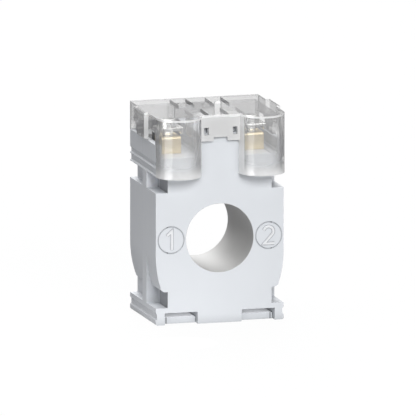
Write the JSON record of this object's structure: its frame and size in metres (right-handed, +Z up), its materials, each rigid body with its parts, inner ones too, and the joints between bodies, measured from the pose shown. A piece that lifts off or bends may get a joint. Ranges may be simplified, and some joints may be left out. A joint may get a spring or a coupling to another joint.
{
  "type": "current transformer",
  "caption": "Cable current transformer with a round window, a two-shell plastic case, covered screw terminals on top and clip notches at the sides.",
  "frame": {"origin": "centre of the cable window on the front face of the case", "axes": "+X to the right seen from the front, +Y along the window from front to back, +Z up to the terminal head"},
  "size_m": [0.044, 0.037, 0.066],
  "materials": {
    "case_plastic": "satin light grey moulding",
    "clear_plastic": "clear slightly smoky moulding",
    "core_steel": "strip-wound",
    "cap_plastic": "matte",
    "copper": "enamelled copper",
    "wrap_film": "yellow film tape",
    "cushion_rubber": "soft foam rubber",
    "sleeve_plastic": "flexible sleeving",
    "terminal_brass": "satin stamped strip",
    "plated_steel": "bright zinc plating"
  },
  "bodies": {
    "case": {"front_shell": "case_plastic", "rear_shell": "case_plastic", "ring_core": "core_steel", "core_cap_front": "cap_plastic", "core_cap_rear": "cap_plastic", "secondary_winding": "copper", "winding_wrap": "wrap_film", "core_cushion_front": "cushion_rubber", "core_cushion_rear": "cushion_rubber", "lead_wire_left": "copper", "lead_wire_right": "copper", "lead_sleeve_left": "sleeve_plastic", "lead_sleeve_right": "sleeve_plastic", "terminal_bracket_left": "terminal_brass", "terminal_bracket_right": "terminal_brass"},
    "cover": {"terminal_cover": "clear_plastic"},
    "plate_left": {"clamp_plate_left": "plated_steel"},
    "plate_right": {"clamp_plate_right": "plated_steel"},
    "screw_left": {"terminal_screw_left": "plated_steel"},
    "screw_right": {"terminal_screw_right": "plated_steel"}
  },
  "joints": [
    {"name": "cover_lift", "type": "slide", "parent": "case", "child": "cover", "axis": [0, 0, 1], "range_m": [0, 0.0195]},
    {"name": "plate_left_press", "type": "slide", "parent": "case", "child": "plate_left", "axis": [0, 0, -1], "range_m": [-0.0012, 0.0015]},
    {"name": "plate_right_press", "type": "slide", "parent": "case", "child": "plate_right", "axis": [0, 0, -1], "range_m": [-0.0012, 0.0015]},
    {"name": "screw_left_turn", "type": "hinge", "parent": "plate_left", "child": "screw_left", "pos_m": [-0.0134, 0.012, 0.0312], "axis": [0, 0, -1], "range_deg": [-760, 940]},
    {"name": "screw_right_turn", "type": "hinge", "parent": "plate_right", "child": "screw_right", "pos_m": [0.0134, 0.012, 0.0312], "axis": [0, 0, -1], "range_deg": [-760, 940]}
  ],
  "couplings": [
    {"joint": "screw_left_turn", "follows": "plate_left_press", "rad_per_m": 10472},
    {"joint": "screw_right_turn", "follows": "plate_right_press", "rad_per_m": 10472}
  ]
}
